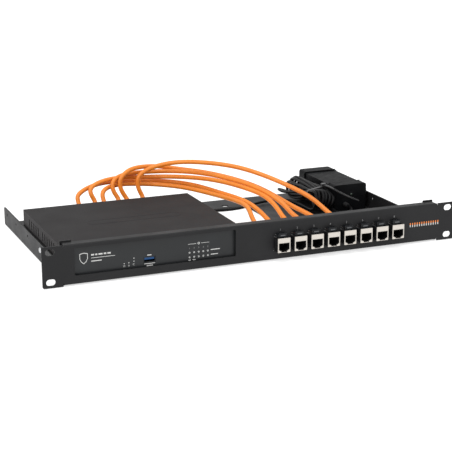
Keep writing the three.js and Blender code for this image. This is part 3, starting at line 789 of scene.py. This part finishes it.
def dc_plug_ribs(look):
    """Ribs on the DC plug's neck and grips along its barrel."""
    shape = Shape()
    wide = 0.45
    for k in range(3):
        y = CASE["back"] + 16.6 + 2.2 * k
        shape.rib((DC["x"], y, DC["z"]), "y", 4.0 - (y - 193) * 0.18, 0.7, 0.45)
    for k in range(10):
        a = 2 * math.pi * k / 10
        dx, dz = math.cos(a), math.sin(a)
        rings = []
        for y, proud in ((180.2, 4.3), (181.2, 4.95), (190.6, 4.95), (191.8, 4.3)):
            cx, cz = DC["x"] + proud * dx, DC["z"] + proud * dz
            rings.append([
                (cx - wide * dz, y, cz + wide * dx), (cx + wide * dz, y, cz - wide * dx),
                (DC["x"] + 4.2 * dx + wide * dz, y, DC["z"] + 4.2 * dz - wide * dx),
                (DC["x"] + 4.2 * dx - wide * dz, y, DC["z"] + 4.2 * dz + wide * dx),
            ])
        shape.loft(rings)
    return shape.finish("dc_plug_grip", [look["black"]])


def strain_relief_ribs(look):
    """Ribs on the sleeve where the DC lead leaves the adapter."""
    shape = Shape()
    for k in range(4):
        y = 152.2 - 1.9 * k
        shape.rib((182, y, 10), "y", 3.0 - 0.09 * (154 - y), 0.6, 0.45)
    return shape.finish("adapter_relief_ribs", [look["black"]])


# ---- cable tie ----
def tie_ring(half, high, corner, y):
    """A rounded rectangle round the hank's waist, tilted as its strands lie."""
    tilt = math.atan(HANK["tie_slope"])
    cx = HANK["tie_right"] - HANK["pitch"] * (len(TURNS) - 1) / 2
    cz = HANK["tie_top"] - HANK["pitch"] / 2 + HANK["tie_slope"] * (cx - HANK["tie_right"])
    ring = []
    for sx, sz, start in ((1, 1, 0), (-1, 1, 90), (-1, -1, 180), (1, -1, 270)):
        for k in range(5):
            a = math.radians(start + 22.5 * k)
            u = sx * (half - corner) + corner * math.cos(a)
            v = sz * (high - corner) + corner * math.sin(a)
            across = cx + u * math.cos(tilt) - v * math.sin(tilt)
            ring.append((across, y, cz + u * math.sin(tilt) + v * math.cos(tilt)))
    return ring


def cable_tie(look):
    """A strap drawn tight round the hank's waist, with its head on top and a long loose tail."""
    shape = Shape()
    y = HANK["tie_y"]
    half = HANK["pitch"] * (len(TURNS) - 1) / 2 + DC_RADIUS + 0.1
    high = HANK["pitch"] / 2 + DC_RADIUS + 0.1
    thick = 1.1
    inside = [tie_ring(half, high, 2.2, place) for place in (y + 1.8, y - 1.8)]
    outside = [tie_ring(half + thick, high + thick, 3.0, place) for place in (y - 1.8, y + 1.8)]
    shape.loft([*outside, *inside, outside[0]], close_ends=False)
    hx, top = 161.0, 30.6
    for x0, x1, y0, y1, z0, z1 in ((-3.1, 3.1, -2.9, 2.9, 0, 3.4), (-2.6, 2.6, -2.4, 2.4, 3.3, 4.2)):
        shape.block(hx + x0, hx + x1, y + y0, y + y1, top + z0, top + z1)
    tail = smooth_route([
        (161.3, 170, 32.9), (162.2, 163, 33), (163.8, 155, 32.2), (170, 147, 28.4), (178, 139, 24),
        (188.6, 130, 19.4),
    ], 12)
    rings = []
    count = len(tail)
    for k, place in enumerate(tail):
        ahead = (tail[min(k + 1, count - 1)] - tail[max(k - 1, 0)]).normalized()
        side = ahead.cross(Vector((0, 0, 1))).normalized()
        over = side.cross(ahead)
        tip = max(0.0, (k - count + 7) / 7)
        wide = 1.75 * (1 - 0.7 * tip)
        tooth = 0.45 + (0.25 if k % 2 else 0.0)
        rings.append([
            place + side * wide + over * 0.75, place + side * 0.75 * wide + over * tooth,
            place - side * 0.75 * wide + over * tooth, place - side * wide + over * 0.75,
            place - side * wide - over * 0.45, place + side * wide - over * 0.45,
        ])
    shape.loft(rings)
    return shape.finish("hank_tie", [look["tie"]], bevel=0.12)


# ---- printed marks ----
def shield_outline(cx, cz, w, h):
    """A plain shield of half width w and half height h."""
    return [
        (cx - w, cz + h), (cx, cz + 1.18 * h), (cx + w, cz + h), (cx + w, cz - 0.1 * h),
        (cx + 0.62 * w, cz - 0.72 * h), (cx, cz - 1.15 * h), (cx - 0.62 * w, cz - 0.72 * h),
        (cx - w, cz - 0.1 * h),
    ]


def fascia_print(look):
    """A plain shield and bars, light symbols and the link light grid on the appliance's front."""
    shape = Shape()
    y0, y1 = CASE["front"] - PRINT, CASE["front"] + 0.02
    outer = shield_outline(-196.5, 26.2, 4.4, 5.2)
    inner = shield_outline(-196.5, 26.2, 3.75, 4.5)
    for k in range(len(outer)):
        j = (k + 1) % len(outer)
        shape.outline([outer[k], outer[j], inner[j], inner[k]], y0, y1)
    for k, long in enumerate((3.2, 2.2, 4.4, 2.8, 3.6)):
        start = -188.5 + (0, 4.4, 7.8, 13.4, 17.4)[k]
        shape.block(start, start + long, y0, y1, 28.4, 30.0)
    shape.block(-188.5, -163.0, y0, y1, 25.6, 26.1)
    shape.block(-188.5, -177.5, y0, y1, 22.0, 23.0)
    for x, z in ((-153.3, 15.6), (-148.3, 15.9), (-142.7, 17.0), (-142.7, 20.4)):
        shape.band((x, z), 0.0, 0.55, 0, 360, y0, y1, 12)
    shape.band((-153.3, 12.9), 0.75, 1.05, 120, 420, y0, y1)
    shape.block(-153.45, -153.15, y0, y1, 12.9, 14.2)
    shape.band((-148.3, 13.0), 0.3, 0.6, 0, 360, y0, y1)
    shape.block(-148.45, -148.15, y0, y1, 11.7, 12.6)
    shape.band((-142.7, 13.6), 0.8, 1.1, 60, 300, y0, y1)
    shape.block(-128.0, -123.4, y0, y1, 21.3, 22.3)
    shape.block(-131.6, -119.6, y0, y1, 12.3, 13.0)
    shape.block(-129.0, -122.0, y0, y1, 9.9, 11.0)
    for k in range(LINK_LIGHTS["count"]):
        x = LINK_LIGHTS["first"] + LINK_LIGHTS["pitch"] * k
        for z in (19.0, 13.9):
            shape.band((x, z), 0.45, 0.95, 0, 360, y0, y1, 14)
    shape.block(-82.4, -73.2, y0, y1, 28.1, 28.5)
    shape.block(-67.8, -58.6, y0, y1, 28.1, 28.5)
    shape.band((-70.5, 28.4), 0.7, 1.3, 0, 360, y0, y1, 12)
    shape.block(-56.8, -46.4, y0, y1, 19.3, 20.2)
    shape.block(-56.8, -48.6, y0, y1, 14.1, 15.0)
    shape.block(-82.2, -79.6, y0, y1, 10.4, 11.3)
    shape.block(-77.4, -74.0, y0, y1, 10.4, 11.3)
    return shape.finish("fascia_print", [look["print"]])


def panel_mark(look):
    """A row of short ticks at the panel's right end, orange above and pale below."""
    shape = Shape()
    for k in range(MARK["count"]):
        x = MARK["first"] + MARK["pitch"] * k
        shape.index = 0
        shape.block(x, x + MARK["width"], -PRINT, 0.02, MARK["middle"], MARK["high"])
        shape.index = 1
        shape.block(x, x + MARK["width"], -PRINT, 0.02, MARK["low"], MARK["middle"])
    return shape.finish("panel_mark", [look["orange_ink"], look["print"]])


def numbers(look):
    """The numbers of the couplers, of the front lights and of the rear ports."""
    texts = [(str(i + 1), coupler_x(i), 0, 33.9) for i in range(COUPLER["count"])]
    lettering("coupler_numbers", texts, 3.4, look["print_dim"])
    lights = [LINK_LIGHTS["first"] + LINK_LIGHTS["pitch"] * k for k in range(LINK_LIGHTS["count"])]
    texts = [(str(k + 1), x, CASE["front"], 23.6) for k, x in enumerate(lights)]
    lettering("light_numbers", texts, 2.5, look["print_dim"])
    texts = [(str(i + 1), port_x(i), CASE["back"], 22.3) for i in range(PORT["count"])]
    lettering("port_numbers", texts, 2.2, look["print_dim"], rear=True)


def rear_print(look):
    """Port lights, the socket's polarity sign and a ring round the reset button."""
    shape = Shape()
    y0, y1 = CASE["back"] - 0.02, CASE["back"] + PRINT
    shape.band((-196, 15), 3.4, 3.8, 0, 360, y0, y1, 28)
    shape.block(-198.0, -194.0, y0, y1, 9.4, 10.2)
    shape.band((DC["x"], 24.2), 0.9, 1.3, 40, 320, y0, y1)
    shape.band((DC["x"], 24.2), 0.0, 0.5, 0, 360, y0, y1, 12)
    shape.block(DC["x"] - 5.4, DC["x"] - 1.2, y0, y1, 24.05, 24.35)
    shape.block(DC["x"] + 0.9, DC["x"] + 5.4, y0, y1, 24.05, 24.35)
    face = CASE["back"] + 0.8
    for i in range(PORT["count"]):
        for side, mark in ((-1, 1), (1, 2)):
            shape.index = mark
            x = port_x(i) + side * 5.5
            shape.block(x - 1.0, x + 1.0, face - 0.1, face + 0.18, 18.0, 19.6)
    looks = [look["print"], look["green"], look["amber"]]
    return shape.finish("rear_print", looks)


# ---- case and adapter details ----
def stadium(r):
    """A level outline with two round ends of radius r, round the middle of the cover's emboss."""
    points = []
    for side, first in ((1, -90), (-1, 90)):
        for k in range(17):
            a = math.radians(first + 180 * k / 16)
            x = EMBOSS["x"] + side * EMBOSS["half"] + r * math.cos(a)
            points.append((x, EMBOSS["y"] + r * math.sin(a)))
    return points


def cover_emboss(look):
    """A plain stadium-shaped emboss pressed into the top of the cover."""
    shape = Shape()
    outer = EMBOSS["radius"]
    inner = outer - EMBOSS["width"]
    root = CASE["top"] - 0.05
    crest = CASE["top"] + EMBOSS["proud"]
    rows = [
        (outer, root), (outer - EMBOSS["slope"], crest), (inner + EMBOSS["slope"], crest), (inner, root),
    ]
    shape.loft([[(x, y, z) for x, y in stadium(r)] for r, z in rows], close_ends=False, smooth=True)
    return shape.finish("cover_emboss", [look["case"]])


def screw_head(shape, centre, radius):
    """A pan head with a cross recess, on a face that looks to the back; the recess is a flat near-black
    cross, painted shade of the hollow.
    """
    h = 0.42 * radius
    shape.index = 0
    shape.lathe(centre, "y", [
        (-0.2 * h, radius), (0.35 * h, radius), (0.75 * h, 0.86 * radius), (h, 0.6 * radius),
        (h * 1.02, 0.3 * radius),
    ], 28)
    # The recess is not cut: a thin near-black cross stands for its painted shade.
    shape.index = 1
    x, y, z = centre
    a, b = 0.5 * radius, 0.1 * radius
    face = y + 1.04 * h
    low, high = face - 0.03, face + 0.03
    shape.block(x - a, x + a, low, high, z - b, z + b)
    shape.block(x - b, x + b, low, high, z - a, z + a)


def case_screws(look):
    """The three screws that hold the cover to the case at the back."""
    shape = Shape()
    for x in (CASE["x0"] + 8, CASE["x1"] - 8, -158.0):
        screw_head(shape, (x, CASE["back"], 31.5), 2.7)
    return shape.finish("case_screws", [look["screw"], look["dark"]])


def usb_tongue(look):
    """Blue tongue of the USB socket with its contacts below, and a near-black lining on the socket's back
    wall and floor that is painted shade inside the socket.
    """
    shape = Shape()
    y = CASE["front"]
    shape.block(USB["x"] - 5.5, USB["x"] + 5.5, y + 1.1, y + 12, USB["z"] - 0.1, USB["z"] + 2.2)
    shape.index = 1
    for k in range(4):
        x = USB["x"] + (k - 1.5) * 2.3
        shape.block(x - 0.5, x + 0.5, y + 1.6, y + 9, USB["z"] - 0.22, USB["z"] - 0.05)
    # Near-black sheets on the socket's back wall and floor: painted shade inside the socket.
    shape.index = 2
    low, high = USB["z"] - 2.35, USB["z"] + 2.35
    shape.block(USB["x"] - 6.0, USB["x"] + 6.0, y + 11.6, y + 11.9, low, high)
    shape.block(USB["x"] - 6.0, USB["x"] + 6.0, y + 0.9, y + 11.9, low, low + 0.12)
    looks = [look["blue"], look["gold"], look["dark"]]
    return shape.finish("usb_tongue", looks, bevel=0.1)


def adapter_light(look):
    """The adapter's small power light in its bezel, on the end that faces the panel."""
    shape = Shape()
    bezel = [(0.1, 2.9), (-0.35, 2.8), (-0.75, 2.3), (-0.8, 1.7), (-0.3, 1.5)]
    shape.lathe(ADAPTER_LIGHT, "y", bezel, 28)
    shape.index = 1
    shape.lathe(ADAPTER_LIGHT, "y", [(-0.2, 1.5), (-0.8, 1.35), (-1.25, 0.9), (-1.4, 0.35)], 24)
    return shape.finish("adapter_light", [look["shell"], look["green_dim"]])


def adapter_band_shade_lines(look):
    """Dark strips where the adapter's raised end bands meet its middle: painted shade along the steps."""
    shape = Shape()
    over = (167.4, 211.1, 34.55, 35.12)
    left = (165.9, 166.5, 3.2, 33.6)
    right = (212.0, 212.6, 3.2, 33.6)
    # Near-black strips over and beside each step: painted shade.
    for y in (171.0, 238.0):
        for x0, x1, z0, z1 in (over, left, right):
            shape.block(x0, x1, y - 0.55, y + 0.55, z0, z1)
    return shape.finish("adapter_band_shade_lines", [look["dark"]], bevel=0.1)


def adapter_grips(look):
    """Shallow grip ribs across the adapter's raised bands."""
    shape = Shape()
    for y0 in (156.0, 241.0):
        for k in range(3):
            y = y0 + 5.2 * k
            for x in (165.95, 212.3):
                shape.block(x, x + 0.25, y, y + 1.2, 7, 27)
    return shape.finish("adapter_grips", [look["shell"]], bevel=0.08)


def inlet_pins(look):
    """The three pins of the adapter's mains inlet, the middle one higher."""
    shape = Shape()
    for dx, dz in ((0, 3.4), (-7, -3), (7, -3)):
        x, z = INLET["x"] + dx, INLET["z"] + dz
        wide, high = INLET["pin_half_width"], INLET["pin_half_height"]
        shape.block(x - wide, x + wide, 240, 249.4, z - high, z + high)
    return shape.finish("inlet_pins", [look["screw"]], bevel=0.5)


def pan_rivets(look):
    """Low rivet heads on the pan, four at its sides and two near the panel."""
    shape = Shape()
    for x, y in ((-212, 196), (-212, 256), (212, 196), (212, 256), (100, 20), (128, 20)):
        shape.lathe((x, y, RIVET["z"]), "z", RIVET["head"], 24)
    return shape.finish("pan_rivets", [look["steel"]])


# ---- studio ----
def make_stage(look):
    """A wide pale floor just below the object."""
    mesh = bpy.data.meshes.new("studio_floor")
    mesh.from_pydata([(-9, -9, 0), (9, -9, 0), (9, 9, 0), (-9, 9, 0)], [], [(0, 1, 2, 3)])
    mesh.materials.append(look["floor"])
    floor = bpy.data.objects.new("studio_floor", mesh)
    floor.location = (0, 0, -0.0006)
    bpy.context.scene.collection.objects.link(floor)


def area_light(name, place, aim, width, height, power):
    """A rectangular light at a place, turned to what it is aimed at."""
    data = bpy.data.lights.new(name, "AREA")
    data.shape = "RECTANGLE"
    data.size = width
    data.size_y = height
    data.energy = power
    light = bpy.data.objects.new(name, data)
    light.location = place
    light.rotation_euler = (Vector(aim) - Vector(place)).to_track_quat("-Z", "Y").to_euler()
    bpy.context.scene.collection.objects.link(light)


def make_lights():
    """A key light from the left, a softer one above, and a white room."""
    area_light("key", place=(-1.6, -1.3, 1.2), aim=(-0.05, 0, 0.02), width=1.6, height=1.2, power=21)
    area_light("top", place=(-0.2, -0.5, 1.8), aim=(0, 0, 0), width=1.6, height=1.2, power=12)
    world = bpy.data.worlds.new("studio")
    world.use_nodes = True
    background = world.node_tree.nodes["Background"]
    background.inputs["Color"].default_value = (1, 1, 1, 1)
    background.inputs["Strength"].default_value = 1.0
    bpy.context.scene.world = world
    bpy.context.scene.view_settings.view_transform = "Standard"


# ---- put together ----
make_camera()
cords = make_cords()

LOOK = {
    "steel": rack_steel(),
    "case": case_paint(),
    "film": fascia_film(),
    "board": board_green(),
    "jack": nickel("jack_shield", (0.6, 0.59, 0.57), 0.32),
    "usb": nickel("usb_shell", (0.06, 0.062, 0.066), 0.4),
    "coupler": coupler_body(),
    "screw": nickel("screw_steel", (0.62, 0.63, 0.64), 0.24),
    "black": moulded("black_plastic", (0.007, 0.007, 0.0075), 0.42),
    # Near-black insert plastic of the RJ45 linings; the same material paints shade in the screw recesses, the
    # USB socket and at the adapter's band steps.
    "dark": moulded("dark_insert_and_shade", (0.0025, 0.0025, 0.003), 0.5, gloss=0.15),
    "latch": moulded("latch_plastic", (0.006, 0.0068, 0.008), 0.3, 3200, 0.03),
    # Paler, glossier grey of the latch pad: a painted highlight.
    "grip": moulded("latch_grip_highlight", (0.05, 0.053, 0.057), 0.25, 3200, 0.03, 0.6),
    "tie": moulded("tie_nylon", (0.02, 0.02, 0.021), 0.28, 2600, 0.03, 0.5),
    "shell": moulded("adapter_shell", (0.0036, 0.0039, 0.0045), 0.52, 1900, 0.09, 0.07),
    "rubber": rubber(),
    "orange": orange_jacket(),
    "boot": moulded("orange_boot", (0.68, 0.19, 0.016), 0.45, 2200, 0.05),
    "black_cord": black_jacket(),
    "print": ink("pale_print", (0.5, 0.5, 0.49)),
    "print_dim": ink("dim_print", (0.2, 0.2, 0.2)),
    "orange_ink": ink("orange_print", (0.75, 0.2, 0.03)),
    "green": lens("green_lens", (0.08, 0.4, 0.1)),
    "green_dim": lens("dim_lens", (0.03, 0.05, 0.035)),
    "amber": lens("amber_lens", (0.7, 0.35, 0.05)),
    "blue": moulded("usb_blue", (0.004, 0.05, 0.16), 0.4, 2600, 0.03),
    "gold": gold(),
    "floor": floor_white(),
}

finish_nodes(LOOK)
for i, lead in enumerate(LEADS):
    number = i + 1
    cord, length, exit_point = cords[number]
    cord.data.materials.append(LOOK["orange"])
    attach(cord, ROOT)
    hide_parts(f"patch_lead_{number}")
    x = port_x(lead["port"])
    start = plug_detail(LOOK, f"firewall_boot_{number}", x, PORT["z"], PLUG["firewall_y"], True)
    x = coupler_x(lead["coupler"])
    end = plug_detail(LOOK, f"panel_boot_{number}", x, SOCKET["z"], PLUG["panel_y"], False)

cord, length, exit_point = cords["dc"]
cord.data.materials.append(LOOK["black_cord"])
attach(cord, ROOT)
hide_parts("dc_lead_adapter_side", "dc_lead_hank", "dc_lead_device_side")
tie = cable_tie(LOOK)
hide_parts("cable_tie")
grip = dc_plug_ribs(LOOK)
strain_relief_ribs(LOOK)

for i in range(COUPLER["count"]):
    x = coupler_x(i)
    socket_insert(f"front_socket_{i + 1}", LOOK, x, COUPLER["front"], 1)
    latch_ribs(LOOK, i)
    coupler_seams(LOOK, i)
    if i >= len(LEADS):
        socket_insert(f"back_socket_{i + 1}", LOOK, x, COUPLER["back"], -1)
fascia_print(LOOK)
panel_mark(LOOK)
numbers(LOOK)
rear_print(LOOK)
cover_emboss(LOOK)
case_screws(LOOK)
usb_tongue(LOOK)
adapter_light(LOOK)
adapter_band_shade_lines(LOOK)
adapter_grips(LOOK)
inlet_pins(LOOK)
pan_rivets(LOOK)
make_stage(LOOK)
make_lights()
